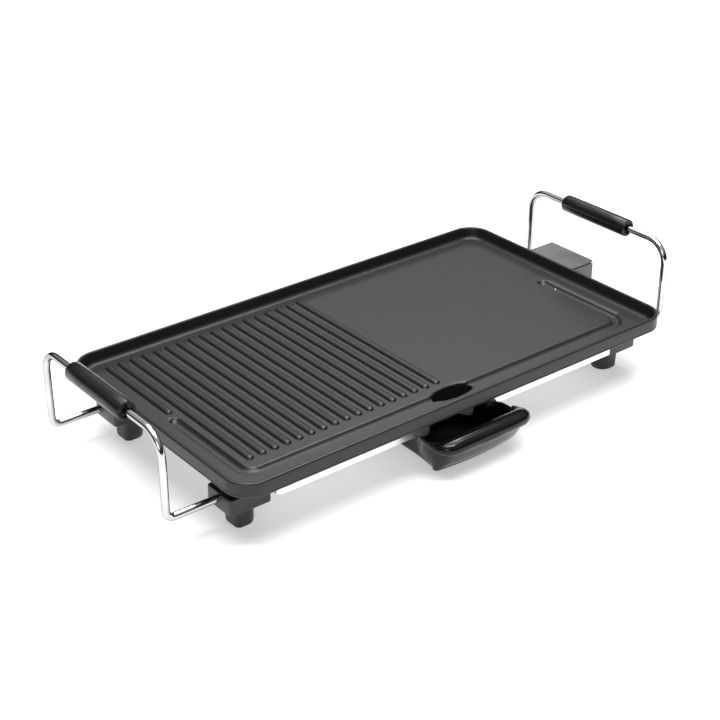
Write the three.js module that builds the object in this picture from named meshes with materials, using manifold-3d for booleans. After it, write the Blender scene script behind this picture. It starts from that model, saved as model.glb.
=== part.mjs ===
// Electric griddle: a cast non-stick plate, half ribbed and half flat, that stands on four moulded
// feet, with a tubular heating element underneath, a polished reflector pan, a wire handle at each
// end, a plug-in socket at the right end and a drip tray that slides out at the front.
// Millimetres, +X to the socket end, -Y to the front, +Z up. All of it is laid out around the
// plate's centre at table height, and the last group centres the whole object over its origin.
import * as THREE from "three";
import { mergeVertices } from "three/addons/utils/BufferGeometryUtils.js";
import Module from "manifold-3d";

const wasm = await Module();
wasm.setup();

// ---- Driving dimensions ----
const CLEARANCE = 0.3; // between pieces that touch
const SIDES = 12; // facets of a round piece
const SCREW_SIDES = 8;
const PAST = 1; // how far a cut runs past the face it opens

// Cast plate. Insets are measured in from its outer edges.
const PLATE_LENGTH = 460;
const PLATE_WIDTH = 257;
const PLATE_CORNER = 22;
const RIM_TOP = 63.5;
const SKIRT_BOTTOM = 50.5;
const WALL = 3.2;
const FLOOR_TOP = 52;
const FLOOR_THICK = 5;
const FLOOR_FILLET = 4;
const SLAB_INSET = 6; // of the underside, behind the skirt

// Ribs on the left half
const RIB_PITCH = 11.75;
const RIB_WIDTH = 6.6;
const RIB_HEIGHT = 2.3;
const RIB_FROM_MIDDLE = 0.9; // of the last rib
const RIB_END_INSET = 22; // of the first rib, at least
const RIB_BACK_INSET = 15;
const RIB_FRONT_INSET = 45.5;
const SHORT_RIB_GAP = 11.5; // from the first rib to the start of the groove

// Drip groove and the hole it runs to
const GROOVE_WIDTH = 9.6;
const GROOVE_DEPTH = 2.6;
const GROOVE_END_INSET = 26;
const GROOVE_FRONT_INSET = 29.3;
const GROOVE_START = 2; // behind the middle
const GROOVE_BEND = 14;
const HOLE_LENGTH = 43;
const HOLE_WIDTH = 18;
const SPOUT_WALL = 3;
const SPOUT_DROP = 14;

// Lugs under the front skirt
const LUG_THICK = 4;
const LUGS = [
  { from: -67, to: -50, shallow: 4, deep: 8 },
  { from: -19, to: -4, shallow: 2, deep: 6 },
];

// Heating element, swaged into a ridge under the plate
const ELEMENT_DIA = 8;
const ELEMENT_BEND = 15;
const ELEMENT_LEFT_INSET = 65;
const ELEMENT_RIGHT_INSET = 72;
const ELEMENT_FRONT_INSET = 60.5;
const ELEMENT_BACK_INSET = 44;
const RIDGE_WALL = 2.7;
const RIDGE_DROP = 6;
const RIDGE_END_INSET = 16;

// Socket at the right end. Reaches are measured out from the plate's end.
const SOCKET_FROM_BRACKET = 47.6; // from the middle of the socket to the back right bracket
const PIN_SPACING = 24;
const PIN_DIA = 5.5;
const PIN_RECESS = 5; // inside the mouth of the shroud
const COLD_END_REACH = 6;
const INSULATOR_DIA = 11;
const INSULATOR_LENGTH = 5;
const PROBE_DIA = 9;
const PROBE_BORE = 6.4;
const PROBE_LENGTH = 49;
const PROBE_REACH = 15;
const SHROUD_WIDTH = 55;
const SHROUD_REACH = 31;
const SHROUD_TOP = 62;
const SHROUD_BOTTOM = 27;
const SHROUD_SHEET = 1.2;
const SHROUD_GAP = 1.3; // shadow gap under the cover
const COVER_THICK = 1.5;
const COVER_LIP = 8;
const SHROUD_EAR = 10;
const TERMINAL_SHEET = 1.5;
const TERMINAL_REACH = 3;

// Reflector pan
const PAN_END_INSET = 47;
const PAN_SIDE_INSET = 20.5;
const PAN_BOTTOM = 29.4;
const PAN_SHEET = 0.9;
const PAN_CORNER = 5;
const NOTCH_SIDE_GAP = 7.5; // round the spout
const NOTCH_BACK_GAP = 5.2;
const PAN_SCREW_INSET = 38; // from the element
const PAN_SCREW_Y = 30;
const BOSS_DIA = 10;

// Brackets, feet and their screws
const BRACKET_OUTER_INSET = 8;
const BRACKET_FRONT_INSET = 28;
const BRACKET_WIDTH = 32.5;
const BRACKET_BOTTOM = 21;
const BRACKET_SHELF = 36;
const BRACKET_STEP = 11; // depth of the shelf
const BRACKET_CORNER = 2;
const LEG_FROM_OUTER = 21.5;
const LEG_FROM_FRONT = 19;
const LEG_RADIUS = 10.5;
const PAD_DIA = 15;
const PAD_HEIGHT = 4;
const PAD_PROUD = 1;
const FOOT_SCREW_OFFSET = 5; // from the middle of the leg
const FOOT_BOSS_DIA = 11;
const FOOT_BOSS_DROP = 8;
const FOOT_SCREW_SEAT = 15;
const SET_SCREW_FROM_OUTER = 6.5;

// Handles
const WIRE_DIA = 6.2;
const WIRE_REACH = 39;
const WIRE_FROM_FRONT = 14.3; // from the front of the bracket
const WIRE_LOW = 32.8;
const WIRE_HIGH = 104;
const WIRE_IN_BRACKET = 31;
const WIRE_TOP_BEND = 15;
const WIRE_LOW_BEND = 6;
const GRIP_LENGTH = 80;
const GRIP_DIA = 16.6;
const GRIP_WALL = 2.4;
const GRIP_RECESS = 5;

// Drip tray
const TRAY_BOTTOM = 4;
const TRAY_TOP = 31;
const TRAY_BACK_TOP = 26;
const TRAY_BACK = -10;
const TRAY_FRONT_REACH = 1.5; // of its foot, out from the plate's front
const TRAY_FRONT_LEAN = 14;
const TRAY_BOW = 2.5; // how far the front's corners are swept back at the foot
const TRAY_BOW_FROM = 14;
const TRAY_HALF = 46;
const TRAY_DRAFT = 6; // how much narrower each side is at the bottom
const TRAY_NECK_HALF = 37;
const TRAY_FLARE_INSET = 24.5;
const TRAY_FLARE_LENGTH = 10;
const TRAY_WALL = 2;
const PULL_HALF = 48.5;
const PULL_HEIGHT = 14;
const PULL_DEPTH = 17;
const PULL_Z = 31.5;
const PULL_REACH = 10.5; // of its middle, out from the tray's front
const FLANGE_WIDTH = 3.5;
const FLANGE_THICK = 1.6;
const FLANGE_TOP = 27.4;
const TRAY_GAP = 0.8; // running clearance round the flange

// Tray rails
const RAIL_SHEET = 1.2;
const RAIL_FRONT_INSET = 6; // from the pan's front
const RAIL_BACK_INSET = 4; // from the tray's back
const RAIL_TOP_FLANGE = 11;
const RAIL_SCREW_INSET = 15; // from each end of the rail

// Screws: head diameter, head height, shank diameter
const LARGE_SCREW = { head: 7.2, rise: 2.4, shank: 3.8 };
const SMALL_SCREW = { head: 5.6, rise: 1.8, shank: 2.8 };

// ---- Sizes worked out from them ----
const PLATE_END = PLATE_LENGTH / 2;
const PLATE_SIDE = PLATE_WIDTH / 2;
const FLOOR_BOTTOM = FLOOR_TOP - FLOOR_THICK;
const UNDER_TOP = FLOOR_BOTTOM - CLEARANCE; // top of what bears on the plate's underside
const GROOVE_X = PLATE_END - GROOVE_END_INSET;
const GROOVE_Y = -(PLATE_SIDE - GROOVE_FRONT_INSET);
const ELEMENT_LEFT = -(PLATE_END - ELEMENT_LEFT_INSET);
const ELEMENT_RIGHT = PLATE_END - ELEMENT_RIGHT_INSET;
const ELEMENT_FRONT = -(PLATE_SIDE - ELEMENT_FRONT_INSET);
const ELEMENT_BACK = PLATE_SIDE - ELEMENT_BACK_INSET;
const ELEMENT_Z = FLOOR_BOTTOM - RIDGE_DROP + 0.2;
const PAN_LENGTH = PLATE_LENGTH - 2 * PAN_END_INSET;
const PAN_WIDTH = PLATE_WIDTH - 2 * PAN_SIDE_INSET;
const PAN_NOTCH_HALF = HOLE_LENGTH / 2 + SPOUT_WALL + NOTCH_SIDE_GAP;
const PAN_NOTCH_BACK = GROOVE_Y + HOLE_WIDTH / 2 + SPOUT_WALL + NOTCH_BACK_GAP;
const PAN_SCREW_X = ELEMENT_RIGHT - PAN_SCREW_INSET;
const BRACKET_INNER = PAN_LENGTH / 2 + 2 * CLEARANCE;
const BRACKET_OUTER = PLATE_END - BRACKET_OUTER_INSET;
const BRACKET_FRONT = PLATE_SIDE - BRACKET_FRONT_INSET;
const BRACKET_BACK = BRACKET_FRONT - BRACKET_WIDTH;
const BRACKET_PAD_OUTER = BRACKET_OUTER - BRACKET_STEP;
const COLD_END = PLATE_END + COLD_END_REACH;
const SOCKET_Y = BRACKET_BACK - SOCKET_FROM_BRACKET;
const SHROUD_START = PLATE_END + CLEARANCE;
const SHROUD_END = PLATE_END + SHROUD_REACH;
const SHROUD_NEAR = SOCKET_Y - SHROUD_WIDTH / 2;
const SHROUD_FAR = SOCKET_Y + SHROUD_WIDTH / 2;
const PIN_END = SHROUD_END - PIN_RECESS;
const TERMINAL_X = PLATE_END + TERMINAL_REACH;
const LEG_X = BRACKET_OUTER - LEG_FROM_OUTER;
const LEG_Y = BRACKET_FRONT - LEG_FROM_FRONT;
const FOOT_SCREW_Y = LEG_Y - FOOT_SCREW_OFFSET;
const SET_SCREW_X = BRACKET_OUTER - SET_SCREW_FROM_OUTER;
const WIRE_X = PLATE_END + WIRE_REACH;
const WIRE_Y = BRACKET_FRONT - WIRE_FROM_FRONT;
const WIRE_INNER_END = BRACKET_OUTER - WIRE_IN_BRACKET;
const TRAY_FRONT = -(PLATE_SIDE + TRAY_FRONT_REACH);
const TRAY_FLARE_FROM = -(PLATE_SIDE - TRAY_FLARE_INSET);
const TRAY_FLARE_TO = TRAY_FLARE_FROM - TRAY_FLARE_LENGTH;
const PULL_Y = TRAY_FRONT - PULL_REACH;
const PULL_FRONT = PULL_Y - PULL_DEPTH / 2;
const RAIL_FRONT = -(PAN_WIDTH / 2 - RAIL_FRONT_INSET);
const RAIL_BACK = TRAY_BACK - RAIL_BACK_INSET;
const RAIL_SCREWS = [RAIL_FRONT + RAIL_SCREW_INSET, RAIL_BACK - RAIL_SCREW_INSET];

const UP = new THREE.Vector3(0, 0, 1);

// ---- Solids: three.js geometry in, one joined or cut geometry out ----
function solid(geometry) {
  const bare = geometry.index ? geometry.toNonIndexed() : geometry.clone();
  bare.deleteAttribute("normal");
  bare.deleteAttribute("uv");
  const merged = mergeVertices(bare, 1e-4);
  const mesh = new wasm.Mesh({
    numProp: 3,
    vertProperties: merged.attributes.position.array,
    triVerts: new Uint32Array(merged.index.array),
  });
  return new wasm.Manifold(mesh);
}

function geometryOf(body) {
  const mesh = body.getMesh();
  const geometry = new THREE.BufferGeometry();
  geometry.setAttribute("position", new THREE.BufferAttribute(mesh.vertProperties, 3));
  geometry.setIndex(new THREE.BufferAttribute(mesh.triVerts, 1));
  geometry.computeVertexNormals();
  return geometry;
}

const join = (...bodies) => bodies.reduce((a, b) => a.add(b));
const cut = (body, ...tools) => tools.reduce((a, b) => a.subtract(b), body);

function boxOf(x0, x1, y0, y1, z0, z1) {
  const box = new THREE.BoxGeometry(x1 - x0, y1 - y0, z1 - z0);
  return solid(box.translate((x0 + x1) / 2, (y0 + y1) / 2, (z0 + z1) / 2));
}

// An outline in X and Y, extruded upwards from z0 to z1.
function slab(shape, z0, z1, curveSegments = 6) {
  const geometry = new THREE.ExtrudeGeometry(shape, {
    depth: z1 - z0,
    bevelEnabled: false,
    curveSegments,
  });
  return solid(geometry.translate(0, 0, z0));
}

// An outline in Y and Z, extruded along X.
function slabX(points, x0, x1) {
  const geometry = new THREE.ExtrudeGeometry(polygon(points), {
    depth: x1 - x0,
    bevelEnabled: false,
  });
  geometry.rotateY(Math.PI / 2).rotateX(Math.PI / 2);
  return solid(geometry.translate(x0, 0, 0));
}
// An outline in X and Z, extruded along Y.
function slabY(points, y0, y1) {
  const geometry = new THREE.ExtrudeGeometry(polygon(points), {
    depth: y1 - y0,
    bevelEnabled: false,
  });
  return solid(geometry.rotateX(Math.PI / 2).translate(0, y1, 0));
}

function cylinderZ(x, y, z0, z1, diameter, sides = SIDES) {
  const geometry = new THREE.CylinderGeometry(diameter / 2, diameter / 2, z1 - z0, sides);
  return solid(geometry.rotateX(Math.PI / 2).translate(x, y, (z0 + z1) / 2));
}

function cylinderX(x0, x1, y, z, diameter, sides = SIDES) {
  const geometry = new THREE.CylinderGeometry(diameter / 2, diameter / 2, x1 - x0, sides);
  return solid(geometry.rotateZ(Math.PI / 2).translate((x0 + x1) / 2, y, z));
}

function cylinderY(x, y0, y1, z, diameter, sides = SIDES) {
  const geometry = new THREE.CylinderGeometry(diameter / 2, diameter / 2, y1 - y0, sides);
  return solid(geometry.translate(x, (y0 + y1) / 2, z));
}

function roundedRectangle(length, width, radius, x = 0, y = 0) {
  const [a, b] = [length / 2, width / 2];
  const shape = new THREE.Shape();
  shape.moveTo(x - a + radius, y - b);
  shape.lineTo(x + a - radius, y - b);
  shape.absarc(x + a - radius, y - b + radius, radius, -Math.PI / 2, 0);
  shape.absarc(x + a - radius, y + b - radius, radius, 0, Math.PI / 2);
  shape.absarc(x - a + radius, y + b - radius, radius, Math.PI / 2, Math.PI);
  shape.absarc(x - a + radius, y - b + radius, radius, Math.PI, 1.5 * Math.PI);
  shape.closePath();
  return shape;
}

function ellipseShape(length, width, y) {
  const shape = new THREE.Shape();
  shape.absellipse(0, y, length / 2, width / 2, 0, 2 * Math.PI);
  return shape;
}

function polygon(points) {
  return new THREE.Shape(points.map(([x, y]) => new THREE.Vector2(x, y)));
}

// A polyline whose corners are rounded to one radius, as evenly cut points.
function bentLine(corners, radius, arcSteps = 4) {
  const points = [corners[0]];
  for (let i = 1; i < corners.length - 1; i++) {
    const back = corners[i - 1].clone().sub(corners[i]).normalize();
    const on = corners[i + 1].clone().sub(corners[i]).normalize();
    const half = back.angleTo(on) / 2;
    const reach = radius / Math.tan(half);
    const centre = back.clone().add(on).normalize().multiplyScalar(radius / Math.sin(half));
    centre.add(corners[i]);
    const from = corners[i].clone().addScaledVector(back, reach).sub(centre);
    const to = corners[i].clone().addScaledVector(on, reach).sub(centre);
    const axis = from.clone().cross(to).normalize();
    const turn = from.angleTo(to);
    for (let k = 0; k <= arcSteps; k++) {
      points.push(from.clone().applyAxisAngle(axis, (turn * k) / arcSteps).add(centre));
    }
  }
  points.push(corners[corners.length - 1]);
  return points;
}

// The path through those points: each stretch between two of them is straight.
class PointPath extends THREE.Curve {
  constructor(points) {
    super();
    this.points = points;
  }
  getPoint(t, target = new THREE.Vector3()) {
    const at = t * (this.points.length - 1);
    const i = Math.min(Math.floor(at), this.points.length - 2);
    return target.lerpVectors(this.points[i], this.points[i + 1], at - i);
  }
  getPointAt(t, target) {
    return this.getPoint(t, target);
  }
  getTangent(t, target = new THREE.Vector3()) {
    const last = this.points.length - 1;
    const i = Math.round(t * last);
    const before = this.points[Math.max(i - 1, 0)];
    const after = this.points[Math.min(i + 1, last)];
    return target.subVectors(after, before).normalize();
  }
  getTangentAt(t, target) {
    return this.getTangent(t, target);
  }
}

// A round rod along a bent line.
function rod(points, diameter, sides) {
  const section = new THREE.Shape();
  section.absarc(0, 0, diameter / 2, 0, 2 * Math.PI);
  const geometry = new THREE.ExtrudeGeometry(section, {
    steps: points.length - 1,
    curveSegments: sides,
    extrudePath: new PointPath(points),
  });
  return solid(geometry);
}

// A flat band that follows a bent line in X and Y, from z0 to z1.
function band(points, width, z0, z1) {
  const left = [];
  const right = [];
  points.forEach((p, i) => {
    const before = points[Math.max(i - 1, 0)];
    const after = points[Math.min(i + 1, points.length - 1)];
    const side = after.clone().sub(before).cross(UP).normalize().multiplyScalar(width / 2);
    left.push([p.x - side.x, p.y - side.y]);
    right.unshift([p.x + side.x, p.y + side.y]);
  });
  return slab(polygon([...left, ...right]), z0, z1);
}

// ---- Finishes ----
const finish = (color, roughness, metalness) =>
  new THREE.MeshStandardMaterial({ color, roughness, metalness });
const FINISH = {
  coating: () => finish(0x3a3a3c, 0.55, 0.1),
  plastic: () => finish(0x1b1b1d, 0.45, 0),
  gloss: () => finish(0x0c0c0e, 0.12, 0),
  chrome: () => finish(0xe8e8ea, 0.08, 1),
  steel: () => finish(0xb9bbbe, 0.3, 1),
  painted: () => finish(0x4a4a4c, 0.5, 0.2),
  element: () => finish(0x55585a, 0.5, 0.8),
  ceramic: () => finish(0xe9e5da, 0.6, 0),
  rubber: () => finish(0x141414, 0.9, 0),
};

const griddle = new THREE.Group();
griddle.name = "electric_griddle";
const pieces = new THREE.Group();
griddle.add(pieces);

function add(name, body, material) {
  const mesh = new THREE.Mesh(geometryOf(body), material);
  mesh.name = name;
  pieces.add(mesh);
  return mesh;
}

// ---- Places that several pieces share ----
const corner = (x, y, z = 0) => new THREE.Vector3(x, y, z);
const PIN_YS = [SOCKET_Y - PIN_SPACING / 2, SOCKET_Y + PIN_SPACING / 2];
const PAN_SCREWS = [-1, 1].flatMap((sx) => [-1, 1].map((sy) => [sx * PAN_SCREW_X, sy * PAN_SCREW_Y]));
const FEET = [
  { name: "front_left", sx: -1, sy: -1 },
  { name: "front_right", sx: 1, sy: -1 },
  { name: "back_left", sx: -1, sy: 1 },
  { name: "back_right", sx: 1, sy: 1 },
];
const EAR_SCREWS = [SHROUD_NEAR - SHROUD_EAR / 2, SHROUD_FAR + SHROUD_EAR / 2];
const EAR_SCREW_X = (BRACKET_INNER + PLATE_LENGTH / 2) / 2;

const elementLine = bentLine(
  [
    corner(COLD_END, PIN_YS[0], ELEMENT_Z),
    corner(ELEMENT_RIGHT, PIN_YS[0], ELEMENT_Z),
    corner(ELEMENT_RIGHT, ELEMENT_FRONT, ELEMENT_Z),
    corner(ELEMENT_LEFT, ELEMENT_FRONT, ELEMENT_Z),
    corner(ELEMENT_LEFT, ELEMENT_BACK, ELEMENT_Z),
    corner(ELEMENT_RIGHT, ELEMENT_BACK, ELEMENT_Z),
    corner(ELEMENT_RIGHT, PIN_YS[1], ELEMENT_Z),
    corner(COLD_END, PIN_YS[1], ELEMENT_Z),
  ],
  ELEMENT_BEND,
);

// ---- Screws: head at the bottom, shank upwards ----
function screwBody(size, seat, tip) {
  const [r, s] = [size.head / 2, size.shank / 2];
  const profile = [
    [0, seat - size.rise],
    [r * 0.8, seat - size.rise],
    [r, seat],
    [s, seat],
    [s, tip],
    [0, tip],
  ].map(([x, z]) => new THREE.Vector2(x, z));
  return solid(new THREE.LatheGeometry(profile, SCREW_SIDES).rotateX(Math.PI / 2));
}

function addScrew(name, size, x, y, seat, tip) {
  const screw = add(name, screwBody(size, seat, tip), FINISH.steel());
  screw.position.set(x, y, 0);
}

const screwHole = (size, x, y, z0, z1) => cylinderZ(x, y, z0, z1, size.shank + 2 * CLEARANCE);
const headHole = (size, x, y, z0, z1) => cylinderZ(x, y, z0, z1, size.head + 2 * CLEARANCE);

// ---- Cast plate ----
const rimInset = WALL + FLOOR_FILLET;
const basin = solid(
  new THREE.ExtrudeGeometry(
    roundedRectangle(
      PLATE_LENGTH - 2 * rimInset,
      PLATE_WIDTH - 2 * rimInset,
      PLATE_CORNER - rimInset,
    ),
    {
      depth: RIM_TOP - FLOOR_TOP,
      bevelThickness: FLOOR_FILLET,
      bevelSize: FLOOR_FILLET,
      bevelSegments: 2,
      curveSegments: 4,
    },
  ).translate(0, 0, FLOOR_TOP + FLOOR_FILLET),
);

// The first rib, beside the start of the groove, is a short one.
function ribs() {
  const room = PLATE_END - RIB_END_INSET - RIB_FROM_MIDDLE;
  const count = Math.floor(room / RIB_PITCH) + 1;
  const back = PLATE_SIDE - RIB_BACK_INSET;
  return Array.from({ length: count }, (_, i) => {
    const x = -RIB_FROM_MIDDLE - i * RIB_PITCH;
    const front = i === count - 1 ? GROOVE_START + SHORT_RIB_GAP : RIB_FRONT_INSET - PLATE_SIDE;
    const y = (front + back) / 2;
    const outline = roundedRectangle(RIB_WIDTH, back - front, RIB_WIDTH / 2 - 0.01, x, y);
    return slab(outline, FLOOR_TOP - PAST, FLOOR_TOP + RIB_HEIGHT, 2);
  });
}

const grooveLine = bentLine(
  [
    corner(-GROOVE_X, GROOVE_START),
    corner(-GROOVE_X, GROOVE_Y),
    corner(GROOVE_X, GROOVE_Y),
    corner(GROOVE_X, GROOVE_START),
  ],
  GROOVE_BEND,
);

const underRidge = band(
  elementLine.map((p) => corner(Math.min(p.x, PLATE_END - RIDGE_END_INSET), p.y)),
  ELEMENT_DIA + 2 * (CLEARANCE + RIDGE_WALL),
  FLOOR_BOTTOM - RIDGE_DROP,
  FLOOR_BOTTOM + PAST,
);
const elementChannel = band(
  elementLine,
  ELEMENT_DIA + 2 * CLEARANCE,
  FLOOR_BOTTOM - RIDGE_DROP - PAST,
  ELEMENT_Z + ELEMENT_DIA / 2 + CLEARANCE,
);

const probeEnd = PLATE_END + PROBE_REACH;
const probeStart = probeEnd - PROBE_LENGTH;
const probeChannel = cylinderX(
  probeStart - CLEARANCE,
  PLATE_END,
  SOCKET_Y,
  ELEMENT_Z,
  PROBE_DIA + 2 * CLEARANCE,
);

const spoutOuter = slab(
  ellipseShape(HOLE_LENGTH + 2 * SPOUT_WALL, HOLE_WIDTH + 2 * SPOUT_WALL, GROOVE_Y),
  FLOOR_BOTTOM - SPOUT_DROP,
  FLOOR_BOTTOM + PAST,
);
const dripHole = slab(
  ellipseShape(HOLE_LENGTH, HOLE_WIDTH, GROOVE_Y),
  FLOOR_BOTTOM - SPOUT_DROP - PAST,
  FLOOR_TOP + PAST,
);

const plateCorners = [
  slab(roundedRectangle(PLATE_LENGTH, PLATE_WIDTH, PLATE_CORNER), SKIRT_BOTTOM, RIM_TOP),
  slab(
    roundedRectangle(
      PLATE_LENGTH - 2 * SLAB_INSET,
      PLATE_WIDTH - 2 * SLAB_INSET,
      PLATE_CORNER - SLAB_INSET,
    ),
    FLOOR_BOTTOM,
    SKIRT_BOTTOM + PAST,
  ),
];
const lugs = LUGS.map(({ from, to, shallow, deep }) =>
  slabY(
    [
      [from, SKIRT_BOTTOM + PAST],
      [from, SKIRT_BOTTOM],
      [from + deep / 2, SKIRT_BOTTOM - shallow],
      [to - deep / 3, SKIRT_BOTTOM - deep],
      [to, SKIRT_BOTTOM - deep / 2],
      [to, SKIRT_BOTTOM + PAST],
    ],
    -PLATE_WIDTH / 2,
    -PLATE_WIDTH / 2 + LUG_THICK,
  ),
);
const panBossBottom = PAN_BOTTOM + PAN_SHEET + CLEARANCE;
const panBosses = PAN_SCREWS.map(([x, y]) =>
  cylinderZ(x, y, panBossBottom, FLOOR_BOTTOM + PAST, BOSS_DIA),
);
const footBosses = FEET.map(({ sx, sy }) =>
  cylinderZ(
    sx * LEG_X,
    sy * FOOT_SCREW_Y,
    FLOOR_BOTTOM - FOOT_BOSS_DROP,
    FLOOR_BOTTOM + PAST,
    FOOT_BOSS_DIA,
  ),
);
const PAN_SCREW_TIP = 40;
const FOOT_SCREW_TIP = 48;
const EAR_SCREW_TIP = 50;
const plateHoles = [
  ...PAN_SCREWS.map(([x, y]) =>
    screwHole(LARGE_SCREW, x, y, panBossBottom - PAST, PAN_SCREW_TIP + CLEARANCE),
  ),
  ...FEET.map(({ sx, sy }) =>
    screwHole(
      LARGE_SCREW,
      sx * LEG_X,
      sy * FOOT_SCREW_Y,
      FLOOR_BOTTOM - FOOT_BOSS_DROP - PAST,
      FOOT_SCREW_TIP + CLEARANCE,
    ),
  ),
  ...EAR_SCREWS.map((y) =>
    screwHole(SMALL_SCREW, EAR_SCREW_X, y, FLOOR_BOTTOM - PAST, EAR_SCREW_TIP + CLEARANCE),
  ),
];
add(
  "griddle_plate",
  cut(
    join(
      cut(plateCorners[0], basin),
      plateCorners[1],
      ...ribs(),
      underRidge,
      spoutOuter,
      ...lugs,
      ...panBosses,
      ...footBosses,
    ),
    band(grooveLine, GROOVE_WIDTH, FLOOR_TOP - GROOVE_DEPTH, FLOOR_TOP + PAST),
    elementChannel,
    probeChannel,
    dripHole,
    ...plateHoles,
  ),
  FINISH.coating(),
);

// ---- Heating element, its terminals and the probe guide ----
add("heating_element", rod(elementLine, ELEMENT_DIA, 8), FINISH.element());

PIN_YS.forEach((y, i) => {
  const place = ["front", "back"][i];
  const start = COLD_END + CLEARANCE;
  add(`terminal_pin_${place}`, cylinderX(start, PIN_END, y, ELEMENT_Z, PIN_DIA), FINISH.steel());
  add(
    `ceramic_insulator_${place}`,
    cut(
      cylinderX(start, start + INSULATOR_LENGTH, y, ELEMENT_Z, INSULATOR_DIA),
      cylinderX(
        start - PAST,
        start + INSULATOR_LENGTH + PAST,
        y,
        ELEMENT_Z,
        PIN_DIA + 2 * CLEARANCE,
      ),
    ),
    FINISH.ceramic(),
  );
});

add(
  "probe_guide",
  cut(
    cylinderX(probeStart, probeEnd, SOCKET_Y, ELEMENT_Z, PROBE_DIA),
    cylinderX(probeStart + SHROUD_SHEET, probeEnd + PAST, SOCKET_Y, ELEMENT_Z, PROBE_BORE),
  ),
  FINISH.steel(),
);

// ---- Socket shroud: a folded sheet box, open at its outer end ----
const innerNear = SHROUD_NEAR + SHROUD_SHEET;
const innerFar = SHROUD_FAR - SHROUD_SHEET;
const wallTop = SHROUD_TOP - COVER_THICK - SHROUD_GAP;
const shroudBody = join(
  boxOf(SHROUD_START, SHROUD_END, SHROUD_NEAR, SHROUD_FAR, SHROUD_BOTTOM, wallTop),
  boxOf(BRACKET_INNER, SHROUD_START + PAST, SHROUD_NEAR, SHROUD_FAR, SHROUD_BOTTOM, UNDER_TOP),
);
const shroudEars = boxOf(
  BRACKET_INNER,
  PLATE_LENGTH / 2 - SLAB_INSET,
  SHROUD_NEAR - SHROUD_EAR,
  SHROUD_FAR + SHROUD_EAR,
  UNDER_TOP - SHROUD_SHEET,
  UNDER_TOP,
);
const shroudInside = join(
  boxOf(
    SHROUD_START + SHROUD_SHEET,
    SHROUD_END + PAST,
    innerNear,
    innerFar,
    SHROUD_BOTTOM + SHROUD_SHEET,
    SHROUD_TOP,
  ),
  boxOf(
    BRACKET_INNER - PAST,
    SHROUD_START + 2 * SHROUD_SHEET,
    innerNear,
    innerFar,
    SHROUD_BOTTOM + SHROUD_SHEET,
    UNDER_TOP + CLEARANCE,
  ),
);
add(
  "socket_shroud",
  cut(
    join(shroudBody, shroudEars),
    shroudInside,
    ...EAR_SCREWS.map((y) => screwHole(SMALL_SCREW, EAR_SCREW_X, y, SHROUD_BOTTOM, SHROUD_TOP)),
  ),
  FINISH.painted(),
);

const lipStart = SHROUD_START + SHROUD_SHEET + CLEARANCE;
add(
  "shroud_cover",
  cut(
    join(
      slab(
        roundedRectangle(
          SHROUD_END - SHROUD_START,
          SHROUD_WIDTH,
          1.5,
          (SHROUD_START + SHROUD_END) / 2,
          SOCKET_Y,
        ),
        SHROUD_TOP - COVER_THICK,
        SHROUD_TOP,
        3,
      ),
      boxOf(
        lipStart,
        SHROUD_END - SHROUD_SHEET,
        innerNear + CLEARANCE,
        innerFar - CLEARANCE,
        wallTop - COVER_LIP,
        SHROUD_TOP - COVER_THICK / 2,
      ),
    ),
    boxOf(
      lipStart + SHROUD_SHEET,
      SHROUD_END + PAST,
      innerNear + CLEARANCE + SHROUD_SHEET,
      innerFar - CLEARANCE - SHROUD_SHEET,
      wallTop - COVER_LIP - PAST,
      SHROUD_TOP - COVER_THICK,
    ),
  ),
  FINISH.painted(),
);

add(
  "terminal_plate",
  cut(
    boxOf(
      TERMINAL_X,
      TERMINAL_X + TERMINAL_SHEET,
      innerNear + CLEARANCE,
      innerFar - CLEARANCE,
      SHROUD_BOTTOM + SHROUD_SHEET + CLEARANCE,
      wallTop - COVER_LIP - CLEARANCE,
    ),
    ...PIN_YS.map((y) =>
      cylinderX(
        TERMINAL_X - PAST,
        TERMINAL_X + TERMINAL_SHEET + PAST,
        y,
        ELEMENT_Z,
        ELEMENT_DIA + 2 * CLEARANCE,
      ),
    ),
    cylinderX(
      TERMINAL_X - PAST,
      TERMINAL_X + TERMINAL_SHEET + PAST,
      SOCKET_Y,
      ELEMENT_Z,
      PROBE_DIA + 2 * CLEARANCE,
    ),
  ),
  FINISH.steel(),
);

EAR_SCREWS.forEach((y, i) => {
  const place = ["front", "back"][i];
  const seat = UNDER_TOP - SHROUD_SHEET - CLEARANCE;
  addScrew(`shroud_screw_${place}`, SMALL_SCREW, EAR_SCREW_X, y, seat, EAR_SCREW_TIP);
});

// ---- Reflector pan, with a notch in front for the spout ----
function panOutline(inset) {
  const [a, b] = [PAN_LENGTH / 2 - inset, PAN_WIDTH / 2 - inset];
  const r = PAN_CORNER - inset;
  const half = PAN_NOTCH_HALF + inset;
  const back = PAN_NOTCH_BACK + inset;
  const shape = new THREE.Shape();
  shape.moveTo(half, -b);
  shape.lineTo(a - r, -b);
  shape.absarc(a - r, -b + r, r, -Math.PI / 2, 0);
  shape.absarc(a - r, b - r, r, 0, Math.PI / 2);
  shape.absarc(-a + r, b - r, r, Math.PI / 2, Math.PI);
  shape.absarc(-a + r, -b + r, r, Math.PI, 1.5 * Math.PI);
  shape.lineTo(-half, -b);
  shape.lineTo(-half, back);
  shape.lineTo(half, back);
  shape.closePath();
  return shape;
}
const socketGap = boxOf(
  PAN_LENGTH / 2 - PAN_CORNER,
  PAN_LENGTH / 2 + PAST,
  innerNear,
  innerFar,
  PAN_BOTTOM + PAN_SHEET,
  UNDER_TOP + PAST,
);
const railHoleXs = [-1, 1].map((side) => ({
  side,
  x: side * (TRAY_NECK_HALF + FLANGE_WIDTH + TRAY_GAP + RAIL_SHEET + RAIL_TOP_FLANGE / 2),
}));
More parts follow.
